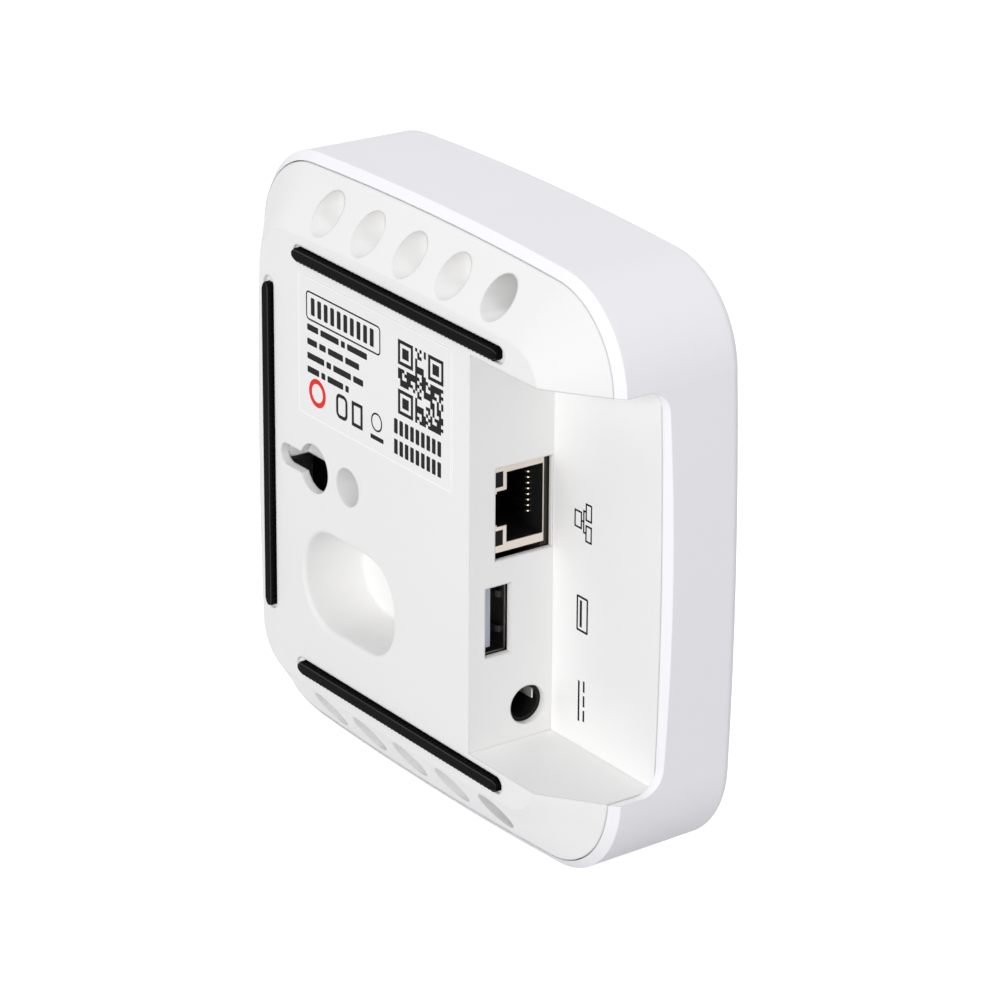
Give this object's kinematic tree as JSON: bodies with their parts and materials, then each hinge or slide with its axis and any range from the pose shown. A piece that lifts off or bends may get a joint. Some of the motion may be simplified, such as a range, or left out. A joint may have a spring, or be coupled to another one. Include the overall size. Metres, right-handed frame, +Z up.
{
  "type": "smart hub",
  "caption": "Rounded square home hub that hangs on a wall or lies on rubber feet, with a recessed bay for network, data and power plugs on one side.",
  "frame": {"origin": "middle of the box round the whole hub, at the lowest point of its lower edge", "axes": "+Z up with the hub standing on its lower edge as in the picture, -Y out of the back with the feet, label and keyhole, +X out of the port bay's open side, +Y out of the plain front"},
  "size_m": [0.1078, 0.0336, 0.108],
  "materials": {
    "case_white": "fine matt moulding",
    "cover_white": "fine matt moulding",
    "black_rubber": "matt with a fine weave",
    "label_paper": "printed film",
    "screw_steel": "zinc plated",
    "board_brown": "solder mask",
    "socket_metal": "bright plated sheet",
    "socket_black": "moulded",
    "contact_gold": "gold plated",
    "lamp_clear": "clear moulding",
    "chip_black": "moulded",
    "can_aluminium": "satin",
    "ferrite_grey": "matt",
    "pad_grey": "soft",
    "crystal_steel": "satin",
    "guide_clear": "frosted",
    "plunger_black": "moulded"
  },
  "bodies": {
    "case": {"front_shell": "case_white", "rear_cover": "cover_white", "rubber_foot_top": "black_rubber", "rubber_foot_bottom": "black_rubber", "rubber_foot_left": "black_rubber", "rating_label": "label_paper", "case_screws": "screw_steel", "main_board": "board_brown", "board_screws": "screw_steel", "network_jack_shield": "socket_metal", "network_jack_body": "socket_black", "network_jack_contacts": "contact_gold", "network_jack_lamps": "lamp_clear", "usb_socket_shell": "socket_metal", "usb_socket_tongue": "socket_black", "usb_socket_contacts": "contact_gold", "usb_socket_riser": "socket_black", "power_socket_body": "socket_black", "power_socket_pin": "socket_metal", "power_socket_spring": "socket_metal", "network_transformer": "chip_black", "power_capacitors": "can_aluminium", "power_inductor": "ferrite_grey", "voltage_regulators": "chip_black", "crystals": "crystal_steel", "processor": "chip_black", "thermal_pad": "pad_grey", "heatsink": "can_aluminium", "memory_chips": "chip_black", "storage_chip": "chip_black", "network_chip": "chip_black", "wireless_network_board": "board_brown", "wireless_network_shield": "crystal_steel", "mesh_radio_board": "board_brown", "mesh_radio_shield": "crystal_steel", "long_range_radio_board": "board_brown", "long_range_radio_shield": "crystal_steel", "long_range_antenna": "contact_gold", "status_lamp": "lamp_clear", "light_guide": "guide_clear", "reset_switch_body": "plunger_black"},
    "button": {"reset_button": "case_white", "reset_switch_plunger": "plunger_black"}
  },
  "joints": [
    {"name": "reset_press", "type": "slide", "parent": "case", "child": "button", "axis": [1, 0, 0], "range_m": [0, 0.0005], "stiffness_N_per_m": 600, "springref_m": -0.001}
  ]
}
